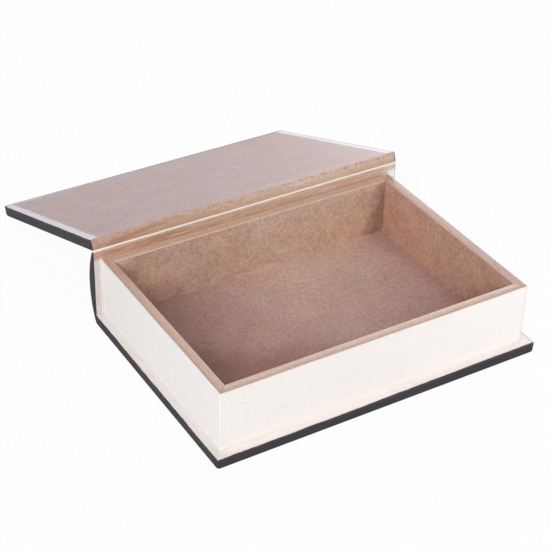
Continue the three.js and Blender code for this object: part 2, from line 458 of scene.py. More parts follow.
def spine_profile(offset):
    """The spine's round side in Y and Z, grown outwards by offset, from its foot up to its top edge.

    Straight noses slope from both edges of the flat side to a circular arc. Each corner is where a nose's
    line meets the grown circle. The line is walked evenly and its corners are softened.
    """
    middle = (SPINE_TOP + SPINE_FOOT) / 2
    half_chord = middle - SPINE_FOOT - NOSE_DROP
    sagitta = SPINE_BULGE - NOSE_WIDTH
    radius = (half_chord ** 2 + sagitta ** 2) / (2 * sagitta)
    centre = SPINE_BULGE - radius
    grown = radius + offset
    tip = SPINE_TOP - middle + offset / math.cos(NOSE_SLOPE)
    towards = centre * math.cos(NOSE_SLOPE) + tip * math.sin(NOSE_SLOPE)
    nose = towards + math.sqrt(towards ** 2 - centre ** 2 - tip ** 2 + grown ** 2)
    corner = math.asin((tip - nose * math.sin(NOSE_SLOPE)) / grown)
    angle = np.linspace(-corner, corner, ARC_POINTS)
    arc = np.stack([centre + grown * np.cos(angle), middle + grown * np.sin(angle)], axis=-1)
    top = [offset * math.sin(NOSE_SLOPE), SPINE_TOP + offset * math.cos(NOSE_SLOPE)]
    line = np.concatenate([[[0, middle - tip]], arc, [top]]) + np.array([SPINE_Y, 0])
    return softened(evenly(line, PROFILE_POINTS), 2)


def round_ended(profile, half, edge):
    """A profile in Y and Z carried along X, drawn in towards the middle of its flat side round both ends.

    At angle a of the rounding, x is half less edge times (1 - sin a), and each point stands edge times
    (1 - cos a) nearer to the middle. The end itself is flat, and reaches back to the flat side.
    """
    middle = np.array([SPINE_Y, (SPINE_TOP + SPINE_FOOT) / 2])
    outward = profile - middle
    outward = outward / np.linalg.norm(outward, axis=1)[:, None]
    s, c = quarter(7)
    run = spread(0, 1, PLAN_STEP / half)[:, None]
    straight = grid(run * (half - edge), profile[:, 0], profile[:, 1])
    drawn = profile - outward * (edge * (1 - c[:, None]))[..., None]
    drawn[..., 0] = np.maximum(drawn[..., 0], SPINE_Y)
    bend = np.concatenate([(half - edge * (1 - s[:, None]))[..., None], drawn], axis=-1)
    plate = bend[-1] - np.linspace(0, 1, 5)[1:, None, None] * ((bend[-1] - (0, SPINE_Y, 0)) * (0, 1, 0))
    right = np.concatenate([straight, bend[1:], plate])
    return np.concatenate([right[::-1] * (-1, 1, 1), right[1:]])


def end_edge(profile):
    """Radius of the spine's end edges: as round as the covers' at its foot, and sharper towards its top."""
    below_top = np.clip((SPINE_TOP - profile[:, 1]) / (SPINE_TOP - SPINE_FOOT), 0, 1)
    return SPINE_ARRIS + (EDGE_ROUND - SPINE_ARRIS) * below_top ** 3


def spine_skin():
    """The leatherette round the spine: the moulding's profile grown by one covering, and by one glue line."""
    outer, inner = spine_profile(COVERING), spine_profile(COVERING - LEATHER)
    edge = end_edge(outer)
    inside = round_ended(inner, HALF_LENGTH - LEATHER, edge - LEATHER)
    return sheet(round_ended(outer, HALF_LENGTH, edge), inside)


def spine_block():
    """The spine's moulding: its round side, and the same grid pressed flat as its flat side."""
    profile = spine_profile(0)
    outer = round_ended(profile, HALF_BOARD, end_edge(profile) - COVERING)
    flat = outer * (1, 0, 1) + np.array([0, SPINE_Y, 0])
    return [outer, flat]


# Hinge: directions in Y and Z across the open saw cut, and the two edges that the fold joins

UP = np.array([math.cos(LEAN), math.sin(LEAN)])
BACK = np.array([math.sin(LEAN), -math.cos(LEAN)])
NOSE_OUT = np.array([math.sin(NOSE_SLOPE), math.cos(NOSE_SLOPE)])
LID_AWAY = np.array([-math.cos(OPEN_ANGLE), math.sin(OPEN_ANGLE)])
LID_INSIDE = np.array([-math.sin(OPEN_ANGLE), -math.cos(OPEN_ANGLE)])
SPINE_EDGE = np.array([SPINE_Y, SPINE_TOP])
CUT_EDGE = SPINE_EDGE + KERF * UP
LID_FOLD = (BACK - LID_INSIDE) / np.linalg.norm(BACK - LID_INSIDE)


def along_hinge(lines):
    """Rows carried along X, each with one place in Y and Z for all its length or one for every step."""
    x = spread(-HALF_LENGTH, HALF_LENGTH, HINGE_STEP)
    rows = [np.broadcast_to(line, (len(x), 2)) for line in lines]
    return np.stack([np.concatenate([x[:, None], row], axis=1) for row in rows])


def hinge_leather():
    """The leatherette's free stretch from the spine's edge to the cut edge, outside the cloth."""
    inner = along_hinge([SPINE_EDGE + CLOTH_BACK * NOSE_OUT, CUT_EDGE + CLOTH_BACK * LID_FOLD])
    outer = along_hinge([SPINE_EDGE + COVERING * NOSE_OUT, CUT_EDGE + COVERING * LID_FOLD])
    return sheet(outer, inner)


def frayed(x, seed, width, longest, stray):
    """Width of a frayed lap at each x, as a column."""
    return (width + wander(x, seed, longest, stray))[:, None]


def hinge_cloth():
    """The cream cloth: a lap on the spine's flat side, the free stretch, and a lap on the lid's cut edge."""
    x = spread(-HALF_LENGTH, HALF_LENGTH, HINGE_STEP)
    low = frayed(x, 5, *SPINE_LAP) * np.array([0, -1])
    high = frayed(x, 6, *LID_LAP) * LID_INSIDE
    by_spine, by_lid = SPINE_EDGE - CLOTH_PROUD * np.array([1, 0]), CUT_EDGE - CLOTH_PROUD * LID_AWAY
    front = [by_spine + low, by_spine, by_lid, by_lid + high]
    free = [SPINE_EDGE + CLOTH_BACK * NOSE_OUT, CUT_EDGE + CLOTH_BACK * LID_FOLD]
    return sheet(along_hinge(front), along_hinge([SPINE_EDGE + low, *free, CUT_EDGE + high]))


# Shader nodes

def put(kind, settings=None, inputs=None, tree=None):
    """Adds a shader node, sets its settings, and gives its inputs links, values or hexadecimal colours.

    Without a tree, the node goes into the one that its first link comes from.
    """
    inputs = inputs or {}
    links = {name: value for name, value in inputs.items() if isinstance(value, bpy.types.NodeSocket)}
    tree = tree or next(iter(links.values())).id_data
    made = tree.nodes.new("ShaderNode" + kind)
    for name, value in (settings or {}).items():
        setattr(made, name, value)
    for name, value in inputs.items():
        if name in links:
            tree.links.new(value, made.inputs[name])
        else:
            made.inputs[name].default_value = shade(value) if isinstance(value, str) else value
    return made


def maths(operation, *values):
    """The result of a Math node."""
    return put("Math", {"operation": operation}, dict(enumerate(values))).outputs[0]


def rise(value, low, high):
    """Goes smoothly from 0 to 1 as value goes from low to high."""
    ends = {"Value": value, "From Min": low, "From Max": high}
    return put("MapRange", {"interpolation_type": "SMOOTHSTEP"}, ends).outputs["Result"]


def ranged(value, low, high, start=0.3, stop=0.7):
    """Goes evenly from low to high as value goes from start to stop, between which most of a noise lies."""
    ends = {"Value": value, "From Min": start, "From Max": stop, "To Min": low, "To Max": high}
    return put("MapRange", None, ends).outputs["Result"]


def mixed(share, first, second, kind="MIX"):
    """The colour of a Mix node."""
    colours = {"data_type": "RGBA", "blend_type": kind}
    return put("Mix", colours, {0: share, 6: first, 7: second}).outputs[2]


def noise(vector, scale, detail=3.0, roughness=0.5, distortion=0.0):
    """A noise value whose features are about one over scale millimetres wide."""
    inputs = {"Vector": vector, "Scale": scale, "Detail": detail, "Roughness": roughness,
              "Distortion": distortion}
    return put("TexNoise", None, inputs).outputs["Fac"]


def stretched(vector, factors):
    """A vector with each part multiplied, which makes a pattern longer where a factor is small."""
    return put("VectorMath", {"operation": "MULTIPLY"}, {0: vector, 1: factors}).outputs[0]


def smeared(vector, factors, detail=3.0, roughness=0.5):
    """Noise whose features are about one over each factor millimetres long."""
    return noise(stretched(vector, factors), 1.0, detail, roughness)


def parts(vector):
    """The three parts of a vector."""
    return put("SeparateXYZ", None, {0: vector}).outputs


def product(*values):
    """All the values multiplied."""
    whole = values[0]
    for value in values[1:]:
        whole = maths("MULTIPLY", whole, value)
    return whole


def zone(strength, *fades):
    """A mask: strength times a smooth rise for each value, from where it is 0 to where it is 1."""
    return product(*(rise(*fade) for fade in fades), strength)


def less(value, other):
    """A value less another."""
    return maths("SUBTRACT", value, other)


def larger(value, other):
    """The larger of two values."""
    return maths("MAXIMUM", value, other)


def times_plus(value, factor, offset):
    """A value times a factor, plus an offset."""
    return maths("MULTIPLY_ADD", value, factor, offset)


def from_middle(value, middle=0.0):
    """How far a value lies from a middle value."""
    return maths("ABSOLUTE", less(value, middle))


def shade(value):
    """A colour as the linear numbers that nodes use, from the usual hexadecimal form."""
    part = np.array([int(value[k:k + 2], 16) for k in (0, 2, 4)]) / 255
    linear = np.where(part <= 0.04045, part / 12.92, ((part + 0.055) / 1.055) ** 2.4)
    return (*linear.tolist(), 1.0)


def new_group(name, inputs, outputs):
    """A shader node group with named inputs, each with its first value, and named outputs."""
    tree = bpy.data.node_groups.new(name, "ShaderNodeTree")
    for socket, kind, value in inputs:
        made = tree.interface.new_socket(name=socket, in_out="INPUT", socket_type="NodeSocket" + kind)
        if value is not None:
            made.default_value = value
    for socket, kind in outputs:
        tree.interface.new_socket(name=socket, in_out="OUTPUT", socket_type="NodeSocket" + kind)
    return tree, tree.nodes.new("NodeGroupInput").outputs, tree.nodes.new("NodeGroupOutput").inputs


def use_group(group, inputs):
    """Places a group in a material with its own values, and returns its outputs."""
    return put("Group", {"node_tree": group}, inputs).outputs


# How much of the grain's light and dark each of red, green and blue takes, so that it looks neutral
GRAIN_BALANCE = (0.7, 1.1, 1.15)


def fibreboard_group():
    """Bare fibreboard: soft blotches, mottle, grit, dark pits, short dark fibres, and streaks.

    The fibres lie where one noise passes through its middle value, broken up by another. The streaks and pits
    follow a place that is stretched along the board.
    """
    tree, given, result = new_group(
        "fibreboard",
        [("Place", "Vector", None), ("Along", "Vector", None), ("Colour", "Color", shade("c9a78d")),
         ("Blotches", "Float", 0.1), ("Specks", "Float", 0.2), ("Streaks", "Float", 0.1),
         ("Pits", "Float", 0.1)],
        [("Colour", "Color"), ("Roughness", "Float"), ("Height", "Float")],
    )
    blotch = noise(given["Place"], 0.05, 3.0, 0.6, 0.6)
    drift = noise(stretched(given["Place"], (1.0, -1.0, 1.0)), 0.05, 2.0, 0.5, 0.6)
    mottle = noise(given["Place"], 0.35, 4.0, 0.65)
    grit = noise(given["Place"], 1.1, 4.0, 0.75)
    streak = noise(given["Along"], 1.0, 4.0, 0.65, 0.2)
    winding = noise(given["Place"], 0.7, 1.0, 0.5, 1.0)
    breaks = noise(stretched(given["Place"], (1.37, 1.37, 1.37)), 0.6, 2.0)
    pit = rise(noise(given["Along"], 0.8, 3.0, 0.7, 0.4), 0.55, 0.66)
    fibre = product(rise(from_middle(winding, 0.5), 0.02, 0.0), rise(breaks, 0.52, 0.6))
    level = product(ranged(blotch, -1.0, 1.0), given["Blotches"])
    layers = ((mottle, 0.8, "Specks"), (grit, 1.4, "Specks"), (streak, 1.0, "Streaks"))
    for pattern, reach, strength in layers:
        level = times_plus(ranged(pattern, -reach, reach), given[strength], level)
    level = times_plus(fibre, -0.18, level)
    warmer = mixed(1.0, given["Colour"], (1.02, 0.995, 0.95, 1.0), "MULTIPLY")
    cooler = mixed(1.0, given["Colour"], (0.985, 1.0, 1.03, 1.0), "MULTIPLY")
    tone = mixed(rise(drift, 0.36, 0.64), cooler, warmer)
    darker = mixed(1.0, given["Colour"], (0.72, 0.58, 0.46, 1.0), "MULTIPLY")
    tone = mixed(product(pit, given["Pits"]), tone, darker)
    balance = {0: level, 1: GRAIN_BALANCE, 2: (1, 1, 1)}
    scales = put("VectorMath", {"operation": "MULTIPLY_ADD"}, balance)
    tree.links.new(stretched(tone, scales.outputs[0]), result["Colour"])
    tree.links.new(ranged(mottle, 0.46, 0.58), result["Roughness"])
    tree.links.new(times_plus(streak, given["Streaks"], grit), result["Height"])
    return tree


def brushed_edge_group():
    """Where brushed paint ends: a distance inside the paint, moved by soft waves and streaks, made a mask."""
    tree, given, result = new_group(
        "brushed_edge",
        [("Place", "Vector", None), ("Along", "Vector", None), ("Inside", "Float", 0.0),
         ("Stray", "Float", 0.6), ("Softness", "Float", 0.5)],
        [("Mask", "Float")],
    )
    wave = noise(given["Place"], 0.09, 2.0, 0.5)
    streak = noise(given["Along"], 1.0, 3.0, 0.6)
    moved = times_plus(ranged(wave, -1.0, 1.0), given["Stray"], given["Inside"])
    moved = times_plus(ranged(streak, -0.7, 0.7), given["Stray"], moved)
    bottom = product(given["Softness"], -0.5)
    top = product(given["Softness"], 0.5)
    tree.links.new(rise(moved, bottom, top), result["Mask"])
    return tree


def leather_grain_group():
    """Fine leatherette grain: small rounded pebbles parted by creases, over slow unevenness."""
    tree, given, result = new_group(
        "leather_grain", [("Place", "Vector", None), ("Size", "Float", 1.3)],
        [("Height", "Float"), ("Crease", "Float"), ("Unevenness", "Float")],
    )
    bent = noise(given["Place"], 0.8, 2.0)
    place = put("VectorMath", {"operation": "ADD"}, {0: given["Place"], 1: bent}).outputs[0]
    cell = {"Vector": place, "Scale": given["Size"], "Randomness": 1.0}
    pebbles = put("TexVoronoi", {"feature": "SMOOTH_F1"}, cell).outputs["Distance"]
    edges = put("TexVoronoi", {"feature": "DISTANCE_TO_EDGE"}, cell).outputs["Distance"]
    crease = rise(edges, 0.16, 0.0)
    uneven = noise(given["Place"], 0.06, 3.0)
    height = times_plus(pebbles, -0.6, product(crease, -0.5))
    tree.links.new(height, result["Height"])
    tree.links.new(crease, result["Crease"])
    tree.links.new(uneven, result["Unevenness"])
    return tree


FIBREBOARD = fibreboard_group()
BRUSHED_EDGE = brushed_edge_group()
LEATHER_GRAIN = leather_grain_group()


# Materials

def new_material(name):
    """A material, its Principled shader, and the attribute that says where a point lies."""
    made = bpy.data.materials.new(name)
    made.use_nodes = True
    tree = made.node_tree
    place = put("Attribute", {"attribute_name": "place"}, tree=tree).outputs["Vector"]
    return made, tree.nodes["Principled BSDF"], place


def feed(shader, colour, roughness, height, depth):
    """Feeds a shader a colour, a roughness, and the normal of a height that is depth millimetres deep."""
    bump = put("Bump", None, {"Height": height, "Distance": depth / 1000})
    ends = {"Base Color": colour, "Roughness": roughness, "Normal": bump.outputs["Normal"]}
    for name, value in ends.items():
        shader.id_data.links.new(value, shader.inputs[name])


def tinted(share, colour, usual, wanted):
    """A grained colour moved from its usual tone towards a wanted one: multiplied, which keeps the grain."""
    factor = np.array(shade(wanted)) / np.array(shade(usual))
    return mixed(share, colour, tuple(factor.tolist()), "MULTIPLY")


def bare_board(place, along, colour, blotches, specks, streaks, pits=0.1):
    """The fibreboard group with a colour and strengths of its own."""
    values = {"Place": place, "Along": along, "Colour": colour, "Blotches": blotches, "Specks": specks,
              "Streaks": streaks, "Pits": pits}
    return use_group(FIBREBOARD, values)


def brushed(place, stretch, inside, softness, stray=0.6):
    """Mask of brushed paint, from how far inside the paint a place lies."""
    values = {"Place": place, "Along": stretched(place, stretch), "Inside": inside,
              "Softness": softness, "Stray": stray}
    return use_group(BRUSHED_EDGE, values)["Mask"]


def from_outer_face(side, x, y):
    """How far a place on a wall lies behind the wall's outer face, and how far before its mitre."""
    if side in LONG_WALLS:
        behind = from_middle(y, LONG_WALLS[side])
        before_end = less(BLOCK_END, from_middle(x))
    else:
        behind = less(BLOCK_END, from_middle(x))
        before_end = less(SHORT_HALF, from_middle(y, SHORT_MIDDLE))
    return behind, less(before_end, behind)


def rear_inside(place, colour, usual):
    """Painted light and shade on the rear wall's inside: zones in which its usual tone moves towards another.

    In turn they are painted light on the foot at the right, painted shade with a ruddier tone on the left
    part, painted light on the left end and on the foot beside it, and dark painted shade in the right end's
    corner below a slanting line. Pale glue dust lines the foot in patches.
    """
    x, _, z = parts(place)
    waves = ranged(noise(place, 0.1, 3.0), -3, 3)
    slant = 0.32
    slanting = times_plus(z, slant, INSIDE_HALF - 3 - RIM * slant)
    into_corner_shade = less(maths("ADD", x, waves), slanting)
    # Painted light and shade: a wanted tone, a strength, and the fades of its zone
    zones = (
        ("dabaa5", 0.45, (x, -10, 60), (z, RIM - 8, LEDGE + 6)),
        ("b39082", 0.5, (times_plus(waves, 6.0, x), 70, -100)),
        ("dabaa5", 0.9, (x, -104, -118)),
        ("e7c3ad", 0.9, (x, -62, -100), (x, -118, -104), (z, 46, 30)),
        ("7f584c", 0.75, (into_corner_shade, -8, 8)),
    )
    for wanted, strength, *fades in zones:
        colour = tinted(zone(strength, *fades), colour, usual, wanted)
    dust = zone(0.7, (z, LEDGE + 1.4, LEDGE + 0.7), (waves, -2.5, 2.0))
    return mixed(dust, colour, "e6d4c8")


def wall_finish(side, inside_colour, upright, rim_outer, rim_inner, gap_shade, lap):
    """A wall: mottled fibreboard inside, and a sawn rim with streaks along it.

    The rim goes from an outer to an inner colour across its width. White paint laps over its outer arris by
    lap, with a line of painted shade beside it, and the mitre shows. The rear wall's rim has painted
    highlights along both arrises.
    Upright is how strongly faint streaks run up the inside.
    """
    made, shader, place = new_material(f"fibreboard_{side}_wall")
    x, y, z = parts(place)
    along = stretched(place, (0.05, 1.7, 1.7) if side in LONG_WALLS else (1.7, 0.05, 1.7))
    upwards = stretched(place, (1.2, 1.2, 0.12))
    inside = bare_board(place, upwards, inside_colour, 0.09, 0.26, upright, 0.06)
    outer = bare_board(place, along, rim_outer, 0.04, 0.16, 0.13)
    inner = bare_board(place, along, rim_inner, 0.04, 0.16, 0.13)
    behind, before_mitre = from_outer_face(side, x, y)
    stray = ranged(noise(along, 0.6, 2.0), -0.9, 0.9)
    share = rise(maths("ADD", behind, stray), WALL * 0.25, WALL * 0.6)
    rim = mixed(share, outer["Colour"], inner["Colour"])
    moved = times_plus(stray, 0.12, behind)
    # A painted shade line on the rim beside the paint, and a dark mitre joint
    line = zone(gap_shade, (from_middle(moved, lap + 0.4), 0.5, 0.1))
    mitre = zone(0.5, (before_mitre, 0.45, 0.1))
    rim = mixed(larger(line, mitre), rim, "8c6450")
    rim = mixed(rise(moved, lap + 0.1, lap - 0.1), rim, "f7f2ee")
    colour = inside["Colour"]
    if side == "rear":
        # Painted highlights along the rear rim's two arrises
        rim = mixed(zone(0.55, (behind, WALL - 1.3, WALL - 0.8)), rim, "ecd2c2")
        rim = mixed(zone(0.5, (behind, 1.4, 0.9)), rim, "e6c6b2")
        colour = rear_inside(place, colour, inside_colour)
    on_rim = rise(z, RIM - 0.5, RIM - 0.15)
    feed(shader, mixed(on_rim, colour, rim), inside["Roughness"], inside["Height"], 0.05)
    return made


def floor_colour(place, colour, usual):
    """The floor inside: painted shade at its front left, beside the left wall and at the right wall's foot.

    It has painted light towards its rear right, and glue dust lies in spots along its rear and right edges.
    """
    x, y, _ = parts(place)
    waves = ranged(noise(place, 0.07, 3.0), -12, 12)
    from_corner = times_plus(waves, 0.6, times_plus(y, 2.0, x))
    # Painted shade at the front left, beside the left wall and at the right wall's foot, and painted light at
    # the rear right
    corner = zone(0.8, (from_corner, 5, -105))
    left_wall_shade = zone(0.35, (maths("ADD", x, waves), 20, -70), (x, -96, -76))
    right_wall_shade = zone(0.35, (x, INSIDE_HALF - 16, INSIDE_HALF - 1))
    darker = larger(larger(corner, left_wall_shade), right_wall_shade)
    painted_light = zone(0.55, (y, -15, 80), (x, -70, 30), (x, 119, 84))
    colour = tinted(painted_light, colour, usual, "dcc4b1")
    colour = tinted(darker, colour, usual, "976c60")
    rear_edge = rise(y, INSIDE_REAR - 1.0, INSIDE_REAR - 0.2)
    right_edge = rise(x, INSIDE_HALF - 2.5, INSIDE_HALF - 0.4)
    spots = rise(noise(place, 0.22, 3.0), 0.45, 0.62)
    return mixed(product(larger(rear_edge, right_edge), spots, 0.45), colour, "d8bba6")


def ledge_colour(place, side, front):
    """Brushed paint on the ledge, yellow-brown along the crease at the page edges, strongest at the front's
    left.

    Side and front say how far a place lies outside the page block's ends and front.
    """
    x, _, _ = parts(place)
    on_side = rise(less(side, front), -0.5, 0.5)
    front_smears = smeared(place, (0.05, 0.35, 0.5))
    side_smears = smeared(place, (0.35, 0.05, 0.5))
    front_paint = mixed(rise(front_smears, 0.4, 0.7), "f2eae6", "ece4dd")
    side_paint = mixed(rise(side_smears, 0.4, 0.7), "e9e3df", "e6ddd6")
    outside = larger(side, front)
    crease = rise(times_plus(front_smears, 0.8, outside), 1.0, 0.35)
    off_side = times_plus(on_side, -0.85, 1.0)
    leftward = times_plus(rise(x, -30, -120), 0.62, 0.1)
    # Yellow-brown along the crease at the page edges, strongest at the front's left
    crease_band = product(crease, off_side, leftward)
    return mixed(crease_band, mixed(on_side, front_paint, side_paint), "b59a78")


def bottom_finish():
    """The bottom board: bare floor inside the page block, and brushed paint on the ledge outside it."""
    made, shader, place = new_material("fibreboard_floor_and_painted_ledge")
    x, y, _ = parts(place)
    along = stretched(place, (0.08, 1.5, 1.5))
    bare = bare_board(place, along, "c3a098", 0.08, 0.24, 0.04, 0.03)
    side = less(from_middle(x), BLOCK_HALF)
    front = less(BLOCK_FRONT, y)
    on_ledge = rise(larger(side, front), -1.0, -0.5)
    floor = floor_colour(place, bare["Colour"], "c3a299")
    colour = mixed(on_ledge, floor, ledge_colour(place, side, front))
    feed(shader, colour, bare["Roughness"], bare["Height"], 0.04)
    return made


def cut_edge_colour(place, along, below_face, on_edge, near_cut):
    """The lid's sawn edge: pitted tan fibreboard, with painted shade away from the inner face.

    It is tanner towards the left, ruddier at its left end, and paler right of the middle. A ragged brown band
    runs along it in spots, and as a solid smear at the left, where it falls away from the inner face.
    """
    x, _, _ = parts(place)
    cut = bare_board(place, along, "d0b3a2", 0.07, 0.24, 0.12, 0.4)
    # Painted shade on the sawn edge away from the inner face
    colour = mixed(zone(0.55, (below_face, 1.5, 7.0)), cut["Colour"], "ac8f7d")
    zones = (
        ("d0b3a2", "c9a88f", 1.0, (x, 40, -80)),
        ("c9a88f", "bb9686", 0.8, (x, -70, -125)),
        ("d0b3a2", "dcbfad", 0.7, (x, 0, 70), (x, 118, 84)),
    )
    for usual, wanted, strength, *fades in zones:
        colour = tinted(zone(strength, *fades), colour, usual, wanted)
    spots = smeared(place, (0.2, 0.8, 0.8), 4.0, 0.7)
    marks = larger(rise(spots, 0.47, 0.6), zone(0.8, (x, -60, -95)))
    falling = ranged(x, 6.8, 1.0, -122, -70)
    off_band = from_middle(below_face, falling)
    beside = larger(on_edge, rise(near_cut, LID_BACK - 3.6, LID_BACK - 0.4))
    band = product(marks, beside, zone(0.65, (off_band, 2.6, 0.6), (x, -128, -116)))
    return mixed(band, colour, "9c6e54")


def lid_borders(place):
    """Mask of the white borders inside the lid: one at each end, and a narrow one along the front.

    The left one is the wider, the front one tapers to the right, and both ends are cut off slanting before
    the saw cut.
    """
    x, y, z = parts(place)
    from_side = from_middle(x)
    side_border = times_plus(rise(x, -1.0, 1.0), 1.2, HALF_BOARD - 6.4)
    front_border = times_plus(x, -0.014, FORE_EDGE + COVERING + 1.3)
    inside = larger(less(from_side, side_border), less(front_border, y))
    slant = 0.35
    before_cut = times_plus(from_side, slant, LID_BACK - 1.5 - HALF_BOARD * slant)
    inside = maths("MINIMUM", inside, less(before_cut, y))
    painted = brushed(place, (0.25, 0.25, 0.25), inside, 2.2)
    return product(painted, rise(z, INNER_FACE + 0.4, INNER_FACE + 0.1))


def lid_finish():
    """The lid's board: a greyish inner face, its tone partly a painted sheen, with painted shade that makes
    it duller to the right, and worn tan towards the saw cut.

    Its borders are painted white, and its sawn edge is tan.
    """
    made, shader, place = new_material("fibreboard_lid")
    x, y, z = parts(place)
    along = stretched(place, (0.06, 1.3, 1.3))
    # The face's greyish tone is partly a painted sheen
    face = bare_board(place, along, "cab2b0", 0.06, 0.17, 0.04, 0.03)
    # Painted shade: darker and duller to the right
    face_colour = tinted(zone(0.35, (x, 30, 125)), face["Colour"], "cab2b0", "bb9d98")
    near_cut = maths("ADD", y, ranged(noise(along, 0.5, 3.0), -3.0, 3.0))
    on_edge = rise(y, LID_BACK - 0.3, LID_BACK - 0.1)
    worn = zone(0.8, (near_cut, LID_BACK - 6.5, LID_BACK - 0.5))
    cut = cut_edge_colour(place, along, less(z, INNER_FACE), on_edge, near_cut)
    colour = mixed(larger(on_edge, worn), face_colour, cut)
    feed(shader, mixed(lid_borders(place), colour, "f8f2fd"), face["Roughness"], face["Height"], 0.04)
    return made


def spine_finish():
    """The spine's moulding: bare above the rim, with smeared paint on its ends below it.

    A rubbed tan stripe runs along the bare part, fainter to the right, with painted shade at its foot. Above
    it lie a pale line and, by the cloth, brown specks. A thin film of paint covers the bare part's right end.
    """
    made, shader, place = new_material("fibreboard_spine")
    x, _, z = parts(place)
    along = stretched(place, (0.05, 1.6, 1.6))
    bare = bare_board(place, along, "dfc3b3", 0.06, 0.2, 0.14, 0.3)
    stray = ranged(noise(along, 0.7, 2.0), -0.6, 0.6)
    height = maths("ADD", z, stray)
    fading = times_plus(rise(x, -80, 50), -0.35, 0.9)
    rubbed = smeared(place, (0.045, 0.5, 0.7), 4.0, 0.75)
    tan = mixed(rise(rubbed, 0.4, 0.62), "a97c5f", "cfae93")
    specks = rise(smeared(place, (0.5, 1.0, 1.2), 3.0, 0.7), 0.5, 0.62)
    stripe = zone(fading, (height, SPINE_TOP - 8.6, SPINE_TOP - 7.9))
    # Painted shade at the stripe's foot, beside the rim
    foot_shade = zone(0.4, (height, RIM + 2.4, RIM + 1.0))
    pale = zone(0.65, (height, SPINE_TOP - 2.2, SPINE_TOP - 1.2))
    by_cloth = product(zone(0.7, (height, SPINE_TOP - 1.5, SPINE_TOP - 0.6)), specks)
    film = zone(0.6, (maths("ADD", x, stray), BLOCK_HALF - 8, BLOCK_HALF - 2))
    colour = bare["Colour"]
    layers = ((stripe, tan), (foot_shade, "94694c"), (pale, "d6bfac"), (by_cloth, "8a5f42"), (film, "dfd2d2"))
    for share, tone in layers:
        colour = mixed(share, colour, tone)
    side = less(from_middle(x), BLOCK_HALF - 0.4)
    on_right = rise(x, 0.0, 1.0)
    below = less(times_plus(on_right, 2.6, RIM + 0.8), z)
    painted = brushed(place, (1.2, 1.2, 0.3), maths("MINIMUM", side, below), 1.2, 0.8)
    smears = rise(smeared(place, (0.6, 0.6, 0.1)), 0.35, 0.7)
    paint = mixed(smears, "d0c9c3", "c6beb7")
    paint = mixed(rise(side, 2.1, 1.3), paint, "e2dbd5")
    paint = mixed(on_right, paint, "efeded")
    feed(shader, mixed(painted, colour, paint), bare["Roughness"], bare["Height"], 0.05)
    return made


def paint_on_lip(place, depth, bare_front, bare_right):
    """Mask of the board's paint where it runs on the leatherette's lip, short of the lip's outer edge.

    Along the front it stays off the edge by bare_front, and by up to bare_right more towards the right.
    """
    x, y, _ = parts(place)
    side = less(HALF_LENGTH - 0.2, from_middle(x))
    bare = times_plus(rise(x, -60, 90), bare_right, FORE_EDGE + bare_front)
    inside = maths("MINIMUM", side, less(y, bare))
    painted = brushed(place, (0.4, 0.4, 0.4), inside, 0.25, 0.25)
    return product(painted, rise(depth, 0.1, 0.0))


def leather_finish(name, lip=None, outwards=1, bare_front=0.2, bare_right=0.0, painted_end=False):
    """Charcoal leatherette: painted shade in the creases, slow unevenness in tone, and a reddish bloom.

    Lip is the height of the lip over the board's edge, and outwards says whether the board's outer side is
    above it, 1, or below, -1. There the edge is worn paler, and the board's paint runs on the lip. A painted
    end is white on the edge beside the spine's flat side, at the right.
    """
    made, shader, place = new_material(name)
    x, y, z = parts(place)
    grain = use_group(LEATHER_GRAIN, {"Place": place})
    colour = mixed(grain["Unevenness"], "2b2a31", "37353e")
    # Painted shade in the grain's creases
    colour = mixed(product(grain["Crease"], 0.4), colour, "1b1a1d")
    bloom = smeared(place, (0.06, 0.06, 0.5))
    colour = mixed(zone(0.5, (bloom, 0.5, 0.65)), colour, "40333a")
    if painted_end:
        on_edge = zone(1.0, (y, SPINE_Y + 0.25, SPINE_Y + 0.1), (x, 0.0, 1.0))
        colour = mixed(on_edge, colour, "e6e1e2")
    if lip:
        depth = product(less(z, lip), outwards)
        rubbed = smeared(place, (0.15, 0.15, 0.8))
        wear = times_plus(rise(rubbed, 0.35, 0.65), 0.5, 0.3)
        colour = mixed(zone(wear, (depth, 2.2, 0.2)), colour, "4b4345")
        painted = paint_on_lip(place, depth, bare_front, bare_right)
        colour = mixed(painted, colour, "e4dcd8")
    shader.inputs["Specular IOR Level"].default_value = 0.3
    feed(shader, colour, ranged(grain["Unevenness"], 0.50, 0.62), grain["Height"], 0.05)
    return made


def page_finish(name, streak_stretch, colour, tint, front):
    """Page edges: off-white with fine faint lines along them.

    The front ones have painted light, a little paler to the right, and a seam near each corner.
    """
    made, shader, place = new_material(name)
    fine = noise(stretched(place, streak_stretch), 1.0, 4.0, 0.7)
    soft = noise(place, 0.05, 2.0)
    share = product(rise(fine, 0.45, 0.8), ranged(soft, 0.2, 0.8))
    tone = mixed(share, colour, tint)
    if front:
        x, _, _ = parts(place)
        # Painted light: paler towards the right
        tone = tinted(rise(x, -30, 110), tone, colour, "f8f4f2")
        off_seam = from_middle(from_middle(x), BLOCK_HALF - PAGE_SEAM)
        tone = mixed(zone(0.35, (off_seam, 0.5, 0.1)), tone, "dccbc3")
    feed(shader, tone, ranged(fine, 0.6, 0.75), fine, 0.02)
    return made


def cloth_finish():
    """Cream cloth: a plain weave of fine threads, darker in spots, most along its lower edge."""
    made, shader, place = new_material("cream_hinge_cloth")
    x, y, z = parts(place)
    threads = 12.0
    warp = maths("SINE", product(x, threads))
    weft = maths("SINE", product(less(z, y), threads))
    # Darker in spots, most along the lower edge
    cloth_spots = rise(noise(place, 0.8, 3.0), 0.5, 0.75)
    low = rise(z, SPINE_TOP - 0.1, SPINE_TOP - 0.5)
    share = product(cloth_spots, times_plus(low, 0.6, 0.1))
    feed(shader, mixed(share, "fdf0e2", "b59a86"), ranged(cloth_spots, 0.8, 0.9), product(warp, weft), 0.03)
    return made


floor_and_ledge = bottom_finish()
lid_bare = lid_finish()
spine_bare = spine_finish()
